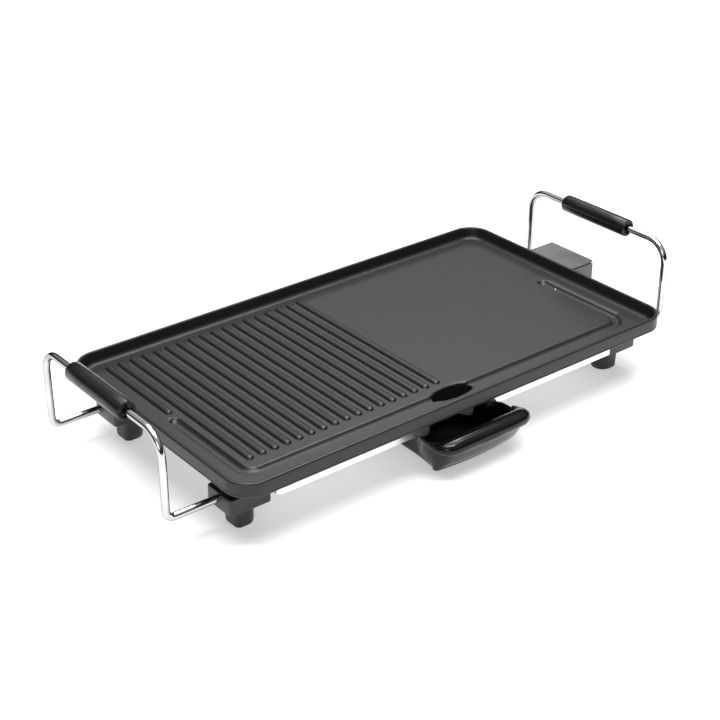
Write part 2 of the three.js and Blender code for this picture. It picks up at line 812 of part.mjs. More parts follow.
add(
  "reflector_pan",
  cut(
    slab(panOutline(0), PAN_BOTTOM, UNDER_TOP),
    slab(panOutline(PAN_SHEET), PAN_BOTTOM + PAN_SHEET, UNDER_TOP + PAST),
    socketGap,
    ...PAN_SCREWS.map(([x, y]) =>
      screwHole(LARGE_SCREW, x, y, PAN_BOTTOM - PAST, PAN_BOTTOM + 2),
    ),
    ...railHoleXs.flatMap(({ x }) =>
      RAIL_SCREWS.map((y) => screwHole(SMALL_SCREW, x, y, PAN_BOTTOM - PAST, PAN_BOTTOM + 2)),
    ),
  ),
  FINISH.steel(),
);
PAN_SCREWS.forEach(([x, y], i) => {
  const name = `pan_screw_${i + 1}`;
  addScrew(name, LARGE_SCREW, x, y, PAN_BOTTOM - CLEARANCE, PAN_SCREW_TIP);
});

// ---- Brackets, feet and handles ----
const wireBore = WIRE_DIA + 2 * CLEARANCE;
const padSeat = PAD_HEIGHT - PAD_PROUD;

function legShape(size = LEG_RADIUS) {
  const shape = new THREE.Shape();
  const flat = size * 0.45;
  shape.moveTo(LEG_X, LEG_Y - size);
  shape.lineTo(LEG_X + size - flat, LEG_Y - size);
  shape.absarc(LEG_X + size - flat, LEG_Y - size + flat, flat, -Math.PI / 2, 0);
  shape.absarc(LEG_X + size - flat, LEG_Y + size - flat, flat, 0, Math.PI / 2);
  shape.absarc(LEG_X, LEG_Y, size, Math.PI / 2, 1.5 * Math.PI);
  return shape;
}

// Modelled in the quarter where X and Y are both positive, then mirrored into place.
function bracketBody() {
  const length = BRACKET_OUTER - BRACKET_INNER;
  const width = BRACKET_FRONT - BRACKET_BACK;
  const [x, y] = [BRACKET_INNER + length / 2, BRACKET_BACK + width / 2];
  const padLength = BRACKET_PAD_OUTER - BRACKET_INNER;
  const padX = BRACKET_INNER + padLength / 2;
  return cut(
    join(
      slab(roundedRectangle(length, width, BRACKET_CORNER, x, y), BRACKET_BOTTOM, BRACKET_SHELF, 2),
      slab(
        roundedRectangle(padLength, width - 8, BRACKET_CORNER, padX, y),
        BRACKET_SHELF - PAST,
        UNDER_TOP,
        2,
      ),
      slab(legShape(), PAD_PROUD, BRACKET_BOTTOM + PAST, 4),
    ),
    cylinderX(WIRE_INNER_END - CLEARANCE, BRACKET_OUTER + PAST, WIRE_Y, WIRE_LOW, wireBore),
    boxOf(
      BRACKET_PAD_OUTER,
      BRACKET_OUTER + PAST,
      WIRE_Y - wireBore / 2,
      WIRE_Y + wireBore / 2,
      WIRE_LOW,
      BRACKET_SHELF + PAST,
    ),
    cylinderZ(
      LEG_X,
      FOOT_SCREW_Y,
      FLOOR_BOTTOM - FOOT_BOSS_DROP - CLEARANCE,
      UNDER_TOP + PAST,
      FOOT_BOSS_DIA + 2 * CLEARANCE,
    ),
    screwHole(LARGE_SCREW, LEG_X, FOOT_SCREW_Y, FOOT_SCREW_SEAT - PAST, UNDER_TOP),
    headHole(LARGE_SCREW, LEG_X, FOOT_SCREW_Y, padSeat, FOOT_SCREW_SEAT),
    cylinderZ(LEG_X, LEG_Y, 0, PAD_HEIGHT + CLEARANCE, PAD_DIA + 2 * CLEARANCE),
    screwHole(SMALL_SCREW, SET_SCREW_X, WIRE_Y, BRACKET_BOTTOM, WIRE_LOW),
    headHole(
      SMALL_SCREW,
      SET_SCREW_X,
      WIRE_Y,
      BRACKET_BOTTOM - PAST,
      BRACKET_BOTTOM + SMALL_SCREW.rise,
    ),
  );
}

FEET.forEach(({ name, sx, sy }) => {
  const bracket = bracketBody().scale([sx, sy, 1]);
  add(`bracket_${name}`, bracket, FINISH.plastic());
  const pad = cylinderZ(sx * LEG_X, sy * LEG_Y, 0, PAD_HEIGHT, PAD_DIA, SIDES);
  add(`foot_pad_${name}`, pad, FINISH.rubber());
  addScrew(
    `foot_screw_${name}`,
    LARGE_SCREW,
    sx * LEG_X,
    sy * FOOT_SCREW_Y,
    FOOT_SCREW_SEAT - CLEARANCE,
    FOOT_SCREW_TIP,
  );
  addScrew(
    `wire_screw_${name}`,
    SMALL_SCREW,
    sx * SET_SCREW_X,
    sy * WIRE_Y,
    BRACKET_BOTTOM + SMALL_SCREW.rise - CLEARANCE,
    WIRE_LOW - WIRE_DIA / 2 - CLEARANCE,
  );
});

function wireLine(side) {
  const [near, far] = [-WIRE_Y, WIRE_Y];
  const low = bentLine(
    [
      corner(side * WIRE_INNER_END, near, WIRE_LOW),
      corner(side * WIRE_X, near, WIRE_LOW),
      corner(side * WIRE_X, near, (WIRE_LOW + WIRE_HIGH) / 2),
    ],
    WIRE_LOW_BEND,
  );
  const top = bentLine(
    [
      corner(side * WIRE_X, near, (WIRE_LOW + WIRE_HIGH) / 2),
      corner(side * WIRE_X, near, WIRE_HIGH),
      corner(side * WIRE_X, far, WIRE_HIGH),
      corner(side * WIRE_X, far, (WIRE_LOW + WIRE_HIGH) / 2),
    ],
    WIRE_TOP_BEND,
    6,
  );
  const back = low.map((p) => corner(p.x, -p.y, p.z)).reverse();
  return [...low.slice(0, -1), ...top.slice(1, -1), ...back.slice(1)];
}

["left", "right"].forEach((name, i) => {
  const side = i === 0 ? -1 : 1;
  const x = side * WIRE_X;
  const half = GRIP_LENGTH / 2;
  add(`handle_wire_${name}`, rod(wireLine(side), WIRE_DIA, 8), FINISH.chrome());
  const recess = GRIP_DIA - 2 * GRIP_WALL;
  add(
    `handle_grip_${name}`,
    cut(
      cylinderY(x, -half, half, WIRE_HIGH, GRIP_DIA, 16),
      cylinderY(x, -half - PAST, half + PAST, WIRE_HIGH, wireBore),
      cylinderY(x, -half - PAST, -half + GRIP_RECESS, WIRE_HIGH, recess),
      cylinderY(x, half - GRIP_RECESS, half + PAST, WIRE_HIGH, recess),
    ),
    FINISH.plastic(),
  );
});

// ---- Drip tray: where its three outlines overlap ----
function trayBlock(inset, top) {
  const sweep = Math.atan(TRAY_BOW / (TRAY_HALF - TRAY_BOW_FROM));
  const tilt = Math.atan((TRAY_FRONT_LEAN + TRAY_BOW) / (TRAY_TOP - TRAY_BOTTOM));
  const bottom = TRAY_BOTTOM + inset;
  const front = TRAY_FRONT + inset;
  const back = TRAY_BACK - inset;
  const lean = (TRAY_FRONT_LEAN * (top - bottom)) / (TRAY_TOP - TRAY_BOTTOM);
  const half = TRAY_HALF - inset;
  const neck = TRAY_NECK_HALF - inset;
  const draft = TRAY_DRAFT;
  const side = slabX(
    [
      [back, bottom],
      [back, top],
      [front - lean, top],
      [front, bottom],
    ],
    -TRAY_HALF,
    TRAY_HALF,
  );
  const frontView = slabY(
    [
      [-half + draft, bottom],
      [half - draft, bottom],
      [half, TRAY_TOP],
      [half, top + PAST],
      [-half, top + PAST],
      [-half, TRAY_TOP],
    ],
    front - TRAY_FRONT_LEAN - PAST,
    back + PAST,
  );
  const plan = slab(
    polygon([
      [-neck, back],
      [-neck, TRAY_FLARE_FROM],
      [-half, TRAY_FLARE_TO],
      [-half, front - TRAY_FRONT_LEAN - PAST],
      [half, front - TRAY_FRONT_LEAN - PAST],
      [half, TRAY_FLARE_TO],
      [neck, TRAY_FLARE_FROM],
      [neck, back],
    ]),
    bottom,
    top,
  );
  // The front's corners, swept back at the foot and running out at the top
  const corners = [-1, 1].map((way) => {
    const tool = new THREE.BoxGeometry(3 * TRAY_HALF, TRAY_HALF, 4 * TRAY_HALF);
    tool.translate(0, -TRAY_HALF / 2, 0).rotateX(tilt).rotateZ(way * sweep);
    return solid(tool.translate(way * TRAY_BOW_FROM, front, bottom));
  });
  return cut(side.intersect(frontView).intersect(plan), ...corners);
}

const pullSection = new THREE.Shape();
pullSection.absellipse(0, 0, PULL_HEIGHT / 2 - 2, PULL_DEPTH / 2 - 2, 0, 2 * Math.PI);
const pull = solid(
  new THREE.ExtrudeGeometry(pullSection, {
    depth: 2 * PULL_HALF - 8,
    bevelThickness: 4,
    bevelSize: 2,
    bevelSegments: 2,
    curveSegments: 6,
  })
    .rotateY(Math.PI / 2)
    .translate(-PULL_HALF + 4, PULL_Y, PULL_Z),
);
const trayShell = cut(
  trayBlock(0, TRAY_TOP),
  trayBlock(TRAY_WALL, TRAY_TOP + PAST),
  boxOf(-TRAY_HALF, TRAY_HALF, TRAY_BACK - 12, TRAY_BACK + PAST, TRAY_BACK_TOP, TRAY_TOP + PAST),
);
const neckTop = boxOf(
  -TRAY_HALF,
  TRAY_HALF,
  -PAN_WIDTH / 2 - TRAY_GAP,
  TRAY_BACK + PAST,
  FLANGE_TOP,
  TRAY_TOP + PAST,
);
const flanges = [-1, 1].map((side) => {
  const xs = [side * (TRAY_NECK_HALF - TRAY_WALL), side * (TRAY_NECK_HALF + FLANGE_WIDTH)];
  return boxOf(
    Math.min(...xs),
    Math.max(...xs),
    TRAY_FLARE_FROM,
    TRAY_BACK,
    FLANGE_TOP - FLANGE_THICK,
    FLANGE_TOP,
  );
});
add("drip_tray", join(cut(trayShell, neckTop), ...flanges, pull), FINISH.gloss());

// ---- Tray rails: folded strips under the pan that hold the tray's flanges ----
const railTop = PAN_BOTTOM - CLEARANCE;
const lipTop = FLANGE_TOP - FLANGE_THICK - TRAY_GAP;
railHoleXs.forEach(({ side, x }) => {
  const name = side < 0 ? "left" : "right";
  const web = TRAY_NECK_HALF + FLANGE_WIDTH + TRAY_GAP;
  const strip = (from, to, z0, z1) =>
    boxOf(Math.min(side * from, side * to), Math.max(side * from, side * to), RAIL_FRONT, RAIL_BACK, z0, z1);
  add(
    `tray_rail_${name}`,
    cut(
      join(
        strip(web, web + RAIL_SHEET + RAIL_TOP_FLANGE, railTop - RAIL_SHEET, railTop),
        strip(web, web + RAIL_SHEET, lipTop - RAIL_SHEET, railTop),
        strip(TRAY_NECK_HALF + TRAY_GAP, web + RAIL_SHEET, lipTop - RAIL_SHEET, lipTop),
      ),
      ...RAIL_SCREWS.map((y) => screwHole(SMALL_SCREW, x, y, railTop - 3, railTop + PAST)),
    ),
    FINISH.steel(),
  );
  RAIL_SCREWS.forEach((y, i) => {
    const seat = railTop - RAIL_SHEET - CLEARANCE;
    addScrew(`rail_screw_${name}_${i + 1}`, SMALL_SCREW, x, y, seat, PAN_BOTTOM + 5);
  });
});

// The object's box is centred over the origin: its back is the plate's, its front the tray's pull.
pieces.position.y = -(PLATE_WIDTH / 2 + PULL_FRONT) / 2;

export default griddle;
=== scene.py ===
import math

import bmesh
import bpy
import numpy as np
from mathutils import Matrix, Vector


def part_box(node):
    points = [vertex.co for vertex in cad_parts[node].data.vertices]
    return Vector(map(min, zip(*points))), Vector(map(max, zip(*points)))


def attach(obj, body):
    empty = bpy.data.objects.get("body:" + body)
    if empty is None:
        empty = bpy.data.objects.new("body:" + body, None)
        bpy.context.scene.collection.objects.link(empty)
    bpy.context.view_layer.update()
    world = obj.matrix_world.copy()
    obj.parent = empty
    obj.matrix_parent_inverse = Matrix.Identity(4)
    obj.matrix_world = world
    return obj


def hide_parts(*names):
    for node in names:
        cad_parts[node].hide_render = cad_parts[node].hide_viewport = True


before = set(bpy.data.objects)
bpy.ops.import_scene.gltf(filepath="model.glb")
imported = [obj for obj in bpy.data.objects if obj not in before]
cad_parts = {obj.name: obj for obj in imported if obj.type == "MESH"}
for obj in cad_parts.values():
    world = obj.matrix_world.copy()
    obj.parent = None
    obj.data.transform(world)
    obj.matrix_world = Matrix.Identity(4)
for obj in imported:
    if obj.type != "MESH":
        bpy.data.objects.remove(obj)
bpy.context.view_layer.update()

# ---- Camera ----
# It stands in front and to the left of the griddle and looks down on the cooking surface.
# Sizes in this file are in millimetres from the middle of the plate, at table height.
MM = 0.001
plate_low, plate_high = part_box("griddle_plate")
PLATE_MIDDLE_Y = (plate_low.y + plate_high.y) / 2
CAMERA_TURN = math.radians(-38.58)
CAMERA_RISE = math.radians(28.45)
CAMERA_DISTANCE = 1280 * MM
LOOK_AT = Vector((-35.1 * MM, -21.64 * MM + PLATE_MIDDLE_Y, 60 * MM))

towards_camera = Vector((
    math.sin(CAMERA_TURN) * math.cos(CAMERA_RISE),
    -math.cos(CAMERA_TURN) * math.cos(CAMERA_RISE),
    math.sin(CAMERA_RISE),
))
camera_data = bpy.data.cameras.new("camera")
camera_data.sensor_width = 36
camera_data.lens = 76.06
camera = bpy.data.objects.new("camera", camera_data)
camera.location = LOOK_AT + towards_camera * CAMERA_DISTANCE
camera.rotation_euler = towards_camera.to_track_quat("Z", "Y").to_euler()
bpy.context.scene.collection.objects.link(camera)
bpy.context.scene.camera = camera
bpy.context.scene.view_settings.view_transform = "Standard"

# ---- Cast plate ----
# The body of the griddle is one aluminium die casting with a sand-grained non-stick coat.
# Its left half is ribbed for grilling and its right half is flat for frying.
# A drip groove runs round the front of the floor to an oval hole over the tray.
PLATE_HALF_LENGTH = (plate_high.x - plate_low.x) / 2 / MM
PLATE_HALF_WIDTH = (plate_high.y - plate_low.y) / 2 / MM
PLATE_CORNER = 22
RIM_TOP = plate_high.z / MM
FLOOR = RIM_TOP - 11.5
SKIRT_BOTTOM = RIM_TOP - 13
FLOOR_HALF_LENGTH = PLATE_HALF_LENGTH - 14
FLOOR_HALF_WIDTH = PLATE_HALF_WIDTH - 14

RIB_COUNT = 18
RIB_PITCH = 11.75
LAST_RIB_X = -0.9
RIB_HALF_WIDTH = 3.4
RIB_HEIGHT = 2.3
RIB_BACK = PLATE_HALF_WIDTH - 15
RIB_FRONT = 45.5 - PLATE_HALF_WIDTH
SHORT_RIB_FRONT = 13.5

GROOVE_X = PLATE_HALF_LENGTH - 26
GROOVE_Y = 29.3 - PLATE_HALF_WIDTH
GROOVE_START = 2
GROOVE_BEND = 14
GROOVE_HALF_WIDTH = 4.9
GROOVE_DEPTH = 2.9
HOLE_HALF_LENGTH = 21.5
HOLE_HALF_WIDTH = 9
HOLE_LIP_DROP = 0.9
HOLE_LIP_SHARE = 0.13
HOLE_EDGE_SHARE = 1.4
# The groove's section: how flat its bottom is, and how sharp its shoulders are.
GROOVE_FLATNESS = 2.2
GROOVE_SHOULDER = 0.9
# Down the spout: height, and size against the hole.
SPOUT_PROFILE = ((48.2, 0.985), (44, 0.98), (33, 0.97))


def rounded_loop(half_x, half_y, radius, x=0, y=0, steps=10):
    """The corners' points of a rounded rectangle, anticlockwise from the right end."""
    points = []
    for quarter, (sx, sy) in enumerate([(1, 1), (-1, 1), (-1, -1), (1, -1)]):
        centre_x = x + sx * (half_x - radius)
        centre_y = y + sy * (half_y - radius)
        for step in range(steps + 1):
            turn = (quarter + step / steps) * math.pi / 2
            points.append((centre_x + radius * math.cos(turn), centre_y + radius * math.sin(turn)))
    return points


def add_loop(mesh, points, height):
    return [mesh.verts.new((x, y, height)) for x, y in points]


def bridge(mesh, lower, upper):
    """A strip of faces between two closed loops of as many points."""
    for i in range(len(lower)):
        j = (i + 1) % len(lower)
        mesh.faces.new((lower[i], lower[j], upper[j], upper[i]))


def finish_piece(name, mesh, material, nodes, body="griddle", sharp=38):
    """Turns a mesh in millimetres into a piece that rides on a body in place of CAD nodes."""
    mesh.transform(Matrix.Translation((0, PLATE_MIDDLE_Y, 0)) @ Matrix.Scale(MM, 4))
    mesh.normal_update()
    data = bpy.data.meshes.new(name)
    mesh.to_mesh(data)
    mesh.free()
    data.shade_smooth()
    data.set_sharp_from_angle(angle=math.radians(sharp))
    data.materials.append(material)
    piece = bpy.data.objects.new(name, data)
    bpy.context.scene.collection.objects.link(piece)
    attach(piece, body)
    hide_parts(*nodes)


class Finish:
    """A surface material, built up from noise in the piece's own coordinates."""

    def __init__(self, name, roughness, metallic=0.0, specular=0.5):
        self.material = bpy.data.materials.new(name)
        self.material.use_nodes = True
        self.tree = self.material.node_tree
        self.shader = self.tree.nodes["Principled BSDF"]
        self.shader.inputs["Roughness"].default_value = roughness
        self.shader.inputs["Metallic"].default_value = metallic
        self.shader.inputs["Specular IOR Level"].default_value = specular
        self.place = self.tree.nodes.new("ShaderNodeTexCoord").outputs["Object"]
        self.last_bump = None

    def noise(self, scale, detail=2.0, stretch=(1, 1, 1)):
        mapping = self.tree.nodes.new("ShaderNodeMapping")
        mapping.inputs["Scale"].default_value = stretch
        self.tree.links.new(self.place, mapping.inputs["Vector"])
        noise = self.tree.nodes.new("ShaderNodeTexNoise")
        noise.inputs["Scale"].default_value = scale
        noise.inputs["Detail"].default_value = detail
        self.tree.links.new(mapping.outputs["Vector"], noise.inputs["Vector"])
        return noise.outputs["Fac"]

    def colours(self, value, *stops):
        """A colour that follows a value through stops of (place, grey or colour)."""
        ramp = self.tree.nodes.new("ShaderNodeValToRGB")
        elements = ramp.color_ramp.elements
        while len(elements) < len(stops):
            elements.new(0.5)
        for element, (at, colour) in zip(elements, stops):
            element.position = at
            rgb = (colour,) * 3 if isinstance(colour, (int, float)) else colour
            element.color = (*rgb, 1)
        self.tree.links.new(value, ramp.inputs["Fac"])
        return ramp.outputs["Color"]

    def mix(self, share, first, second):
        mix = self.tree.nodes.new("ShaderNodeMix")
        mix.data_type = "RGBA"
        self.tree.links.new(share, mix.inputs["Factor"])
        self.tree.links.new(first, mix.inputs["A"])
        self.tree.links.new(second, mix.inputs["B"])
        return mix.outputs["Result"]

    def colour(self, value):
        self.tree.links.new(value, self.shader.inputs["Base Color"])

    def roughness(self, value, low, high):
        spread = self.tree.nodes.new("ShaderNodeMapRange")
        spread.inputs["From Min"].default_value = 0.3
        spread.inputs["From Max"].default_value = 0.7
        spread.inputs["To Min"].default_value = low
        spread.inputs["To Max"].default_value = high
        self.tree.links.new(value, spread.inputs["Value"])
        self.tree.links.new(spread.outputs["Result"], self.shader.inputs["Roughness"])

    def bump(self, value, depth, strength=1.0):
        """Adds relief, with its depth in metres, on top of any relief before it."""
        bump = self.tree.nodes.new("ShaderNodeBump")
        bump.inputs["Strength"].default_value = strength
        bump.inputs["Distance"].default_value = depth
        self.tree.links.new(value, bump.inputs["Height"])
        if self.last_bump:
            self.tree.links.new(self.last_bump, bump.inputs["Normal"])
        self.last_bump = bump.outputs["Normal"]
        self.tree.links.new(self.last_bump, self.shader.inputs["Normal"])


coating = Finish("nonstick_coating", roughness=0.35, specular=0.38)
coating_grain = coating.noise(1250, 3)
coating_drift = coating.noise(9, 3)
coating.colour(coating.mix(
    coating_drift,
    coating.colours(coating_grain, (0.30, 0.004), (0.62, 0.009), (0.75, 0.036)),
    coating.colours(coating_grain, (0.30, 0.005), (0.62, 0.011), (0.75, 0.042)),
))
coating.roughness(coating.noise(420, 4), 0.30, 0.40)
coating.bump(coating.noise(60, 3), 0.00012, 0.35)
coating.bump(coating_grain, 0.00012, 0.6)


def distance_to_rib(x, y):
    number = np.clip(np.round((LAST_RIB_X - x) / RIB_PITCH), 0, RIB_COUNT - 1)
    middle = LAST_RIB_X - number * RIB_PITCH
    front = np.where(number == RIB_COUNT - 1, SHORT_RIB_FRONT, RIB_FRONT) + RIB_HALF_WIDTH
    past_end = np.maximum(np.maximum(front - y, y - RIB_BACK + RIB_HALF_WIDTH), 0)
    return np.hypot(x - middle, past_end)


def distance_to_groove(x, y):
    across = np.abs(x)
    bend_x = across - (GROOVE_X - GROOVE_BEND)
    bend_y = (GROOVE_Y + GROOVE_BEND) - y
    straight = np.minimum(np.abs(GROOVE_X - across), np.abs(y - GROOVE_Y))
    bend = np.abs(np.hypot(bend_x, bend_y) - GROOVE_BEND)
    past_start = np.hypot(GROOVE_X - across, y - GROOVE_START)
    run = np.where((bend_x > 0) & (bend_y > 0), bend, straight)
    return np.where(y > GROOVE_START, past_start, run)


def round_the_hole(x, y):
    """Below 1 inside the hole, and above 1 outside it."""
    return np.hypot(x / HOLE_HALF_LENGTH, (y - GROOVE_Y) / HOLE_HALF_WIDTH)


def floor_height(x, y):
    rib = np.sqrt(1 - np.clip(distance_to_rib(x, y) / RIB_HALF_WIDTH, 0, 1) ** 2)
    groove = np.clip(distance_to_groove(x, y) / GROOVE_HALF_WIDTH, 0, 1)
    trough = np.maximum(1 - groove**GROOVE_FLATNESS, 0) ** GROOVE_SHOULDER
    lip = np.clip(1 - (round_the_hole(x, y) - 1) / HOLE_LIP_SHARE, 0, 1) ** 2
    return FLOOR + RIB_HEIGHT * rib - GROOVE_DEPTH * trough - HOLE_LIP_DROP * lip


GRID_SPACING = 11
GRID_CLOSEST = 0.24
GRID_CLEARANCE = 1.2


def grid_lines(half, *clusters):
    """Places of grid lines: an even set, with closer ones where there is something to shape."""
    places = list(np.linspace(-half, half, 2 * round(half / GRID_SPACING) + 1))
    close = sorted(place for cluster in clusters for place in cluster)
    kept = []
    for place in close:
        if -half < place < half and (not kept or place - kept[-1] > GRID_CLOSEST):
            kept.append(place)
    for place in places:
        if all(abs(place - other) > GRID_CLEARANCE for other in kept) or abs(place) == half:
            kept.append(place)
    return np.array(sorted(kept))


ACROSS_RIB = [-3.4, -3.12, -2.75, -2.3, -1.75, -1.2, -0.6, 0, 0.6, 1.2, 1.75, 2.3, 2.75, 3.12, 3.4]
ALONG_RIB_END = (0, 0.28, 0.65, 1.1, 1.7, 2.4, 3.4)
ACROSS_GROOVE = [
    -5.3, -4.95, -4.75, -4.4, -3.9, -3.1, -2, -0.7, 0.7, 2, 3.1, 3.9, 4.4, 4.75, 4.95, 5.3,
]
ALONG_GROOVE_END = (-0.8, 0.4, 1.2, 2, 2.8, 3.5, 4.1, 4.5, 4.8, 5)
rib_places = [LAST_RIB_X - i * RIB_PITCH for i in range(RIB_COUNT)]
grid_x = grid_lines(
    FLOOR_HALF_LENGTH,
    [middle + step for middle in rib_places for step in ACROSS_RIB],
    [side * GROOVE_X + step for side in (-1, 1) for step in ACROSS_GROOVE],
    [side * (GROOVE_X - step) for side in (-1, 1) for step in np.arange(6.2, 21, 1.3)],
    np.arange(-25, 25.1, 0.9),
)
grid_y = grid_lines(
    FLOOR_HALF_WIDTH,
    [RIB_FRONT + step for step in ALONG_RIB_END],
    [RIB_BACK - step for step in ALONG_RIB_END],
    [SHORT_RIB_FRONT + step for step in ALONG_RIB_END],
    [GROOVE_Y + step for step in ACROSS_GROOVE],
    np.arange(GROOVE_Y + 6.2, GROOVE_Y + 21, 1.3),
    [GROOVE_START + step for step in ALONG_GROOVE_END],
    np.arange(GROOVE_Y - 11, GROOVE_Y + 11.1, 0.9),
)
heights = floor_height(*np.meshgrid(grid_x, grid_y, indexing="ij"))

plate = bmesh.new()
grid = [
    [plate.verts.new((x, y, heights[i, j])) for j, y in enumerate(grid_y)]
    for i, x in enumerate(grid_x)
]
hole_faces = []
for i in range(len(grid_x) - 1):
    for j in range(len(grid_y) - 1):
        face = plate.faces.new((
            grid[i][j], grid[i + 1][j], grid[i + 1][j + 1], grid[i][j + 1],
        ))
        middle = face.calc_center_median()
        if round_the_hole(middle.x, middle.y) < 1:
            hole_faces.append(face)
bmesh.ops.delete(plate, geom=hole_faces, context="FACES")

# The spout: the grid's edge is drawn to the oval, and then down through the floor.
hole_edge = [
    edge for edge in plate.edges
    if edge.is_boundary
    and all(round_the_hole(v.co.x, v.co.y) < HOLE_EDGE_SHARE for v in edge.verts)
]
for vert in {v for edge in hole_edge for v in edge.verts}:
    scale = 1 / round_the_hole(vert.co.x, vert.co.y)
    vert.co.x *= scale
    vert.co.y = GROOVE_Y + (vert.co.y - GROOVE_Y) * scale
    vert.co.z = floor_height(vert.co.x, vert.co.y)
for height, shrink in SPOUT_PROFILE:
    made = bmesh.ops.extrude_edge_only(plate, edges=hole_edge)["geom"]
    hole_edge = [item for item in made if isinstance(item, bmesh.types.BMEdge)]
    hole_edge = [edge for edge in hole_edge if edge.is_boundary]
    for vert in {v for edge in hole_edge for v in edge.verts}:
        scale = shrink / round_the_hole(vert.co.x, vert.co.y)
        vert.co.x *= scale
        vert.co.y = GROOVE_Y + (vert.co.y - GROOVE_Y) * scale
        vert.co.z = height

# The skirt, rim and inner wall: distance in from the outer edge, and height.
WALL_FILLET = 4.6
WALL_FOOT = 8.6
WALL_PROFILE = [
    (6, SKIRT_BOTTOM),
    (1.0, SKIRT_BOTTOM),
    (0.3, SKIRT_BOTTOM + 0.25),
    (0, SKIRT_BOTTOM + 0.9),
    (0, SKIRT_BOTTOM + 1.5),
    (0.35, SKIRT_BOTTOM + 1.75),
    (0.35, SKIRT_BOTTOM + 2.0),
    (0, SKIRT_BOTTOM + 2.3),
    (0, RIM_TOP - 1.7),
    (0.12, RIM_TOP - 1.0),
    (0.5, RIM_TOP - 0.4),
    (1.1, RIM_TOP - 0.07),
    (1.7, RIM_TOP),
    (2.4, RIM_TOP - 0.12),
    (2.95, RIM_TOP - 0.5),
    (3.3, RIM_TOP - 1.2),
    (4.0, FLOOR + WALL_FILLET),
]
WALL_PROFILE += [
    (
        WALL_FOOT - WALL_FILLET * math.cos(math.radians(turn)),
        FLOOR + WALL_FILLET - WALL_FILLET * math.sin(math.radians(turn)),
    )
    for turn in (15, 30, 45, 60, 75, 90)
]
previous = None
for inset, height in WALL_PROFILE:
    points = rounded_loop(
        PLATE_HALF_LENGTH - inset, PLATE_HALF_WIDTH - inset, PLATE_CORNER - inset, steps=14,
    )
    loop = add_loop(plate, points, height)
    if previous:
        bridge(plate, previous, loop)
    previous = loop
wall_foot = [plate.edges.get((previous[i - 1], previous[i])) for i in range(len(previous))]
last_x, last_y = len(grid_x) - 1, len(grid_y) - 1
floor_edge = [
    plate.edges.get((grid[i][j], grid[i + 1][j])) for i in range(last_x) for j in (0, last_y)
]
floor_edge += [
    plate.edges.get((grid[i][j], grid[i][j + 1])) for j in range(last_y) for i in (0, last_x)
]
bmesh.ops.triangle_fill(plate, use_beauty=True, edges=wall_foot + floor_edge, normal=(0, 0, 1))

# The underside, with the ridge over the element, the bosses and the outside of the spout.
# The CAD plate's own two lugs, at the very front, give way to the rounded ones below.
LUG_REACH = 5
under = bmesh.new()
under.from_mesh(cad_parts["griddle_plate"].data)
under.transform(Matrix.Scale(1 / MM, 4) @ Matrix.Translation((0, -PLATE_MIDDLE_Y, 0)))
bmesh.ops.remove_doubles(under, verts=under.verts, dist=0.001)
unwanted = [
    face for face in under.faces
    if max(v.co.z for v in face.verts) > SKIRT_BOTTOM + 0.1
    or min(v.co.z for v in face.verts) > SKIRT_BOTTOM - 0.1
    or max(v.co.y for v in face.verts) < LUG_REACH - PLATE_HALF_WIDTH
]
bmesh.ops.delete(under, geom=unwanted, context="FACES")
under_verts = {v: plate.verts.new(v.co) for v in under.verts if v.link_faces}
for face in under.faces:
    plate.faces.new([under_verts[v] for v in face.verts])
under.free()
LUGS = [
    [
        (-67.5, 50.8), (-63, 46.6), (-56, 43.4), (-53, 42.6), (-50.6, 43.6), (-49.8, 46.6),
        (-49.8, 50.8),
    ],
    [(-19, 50.8), (-13, 47.6), (-8, 44.8), (-5.6, 44), (-3.8, 45), (-3.2, 47.4), (-3.2, 50.8)],
]
# From a lug's front to its back: how far its edge is drawn in, and the distance back.
LUG_ROUNDING = ((0.5, 0.1), (0, 0.55), (0, 3.6), (0.5, 4))
for outline in LUGS:
    rings = []
    for inset, back in LUG_ROUNDING:
        ring = []
        for x, z in outline:
            ring.append(plate.verts.new((x, back - PLATE_HALF_WIDTH, z + inset)))
        rings.append(ring)
    for front_ring, back_ring in zip(rings, rings[1:]):
        for i in range(len(outline) - 1):
            plate.faces.new((front_ring[i], back_ring[i], back_ring[i + 1], front_ring[i + 1]))
    plate.faces.new(rings[0])
    plate.faces.new(list(reversed(rings[-1])))
finish_piece("plate_casting", plate, coating.material, ["griddle_plate"])

# ---- Brackets and legs ----
# Four black moulded blocks screwed to bosses under the plate's corners.
# Each holds one foot of a handle wire in a slot and ends in a D-shaped leg.
BRACKET_INNER = 183.6
BRACKET_OUTER = PLATE_HALF_LENGTH - 8
BRACKET_FRONT = PLATE_HALF_WIDTH - 28
BRACKET_BACK = BRACKET_FRONT - 32.5
BRACKET_BOTTOM = 21
BRACKET_SHELF = 36
BRACKET_TOP = 46.7
BRACKET_CORNER = 3.2
RISER_INSET_X = 5.5
RISER_INSET_Y = 4
RISER_CORNER = 3
LEG_X = BRACKET_OUTER - 21.5
LEG_Y = BRACKET_FRONT - 19
LEG_RADIUS = 10.5
LEG_CORNER_SHARE = 0.45

moulded = Finish("moulded_black_plastic", roughness=0.42, specular=0.5)
moulded.colour(moulded.colours(moulded.noise(14, 3), (0.35, 0.012), (0.65, 0.020)))
moulded.roughness(moulded.noise(160, 4), 0.36, 0.5)
moulded.bump(moulded.noise(1500, 2), 0.00003, 0.5)


def close_loop(mesh, loop, upwards):
    mesh.faces.new(loop if upwards else list(reversed(loop)))


def stack(mesh, outlines):
    """A closed body from plan outlines, each (points, height), bottom first."""
    loops = [add_loop(mesh, points, height) for points, height in outlines]
    for lower, upper in zip(loops, loops[1:]):
        bridge(mesh, lower, upper)
    close_loop(mesh, loops[0], upwards=False)
    close_loop(mesh, loops[-1], upwards=True)


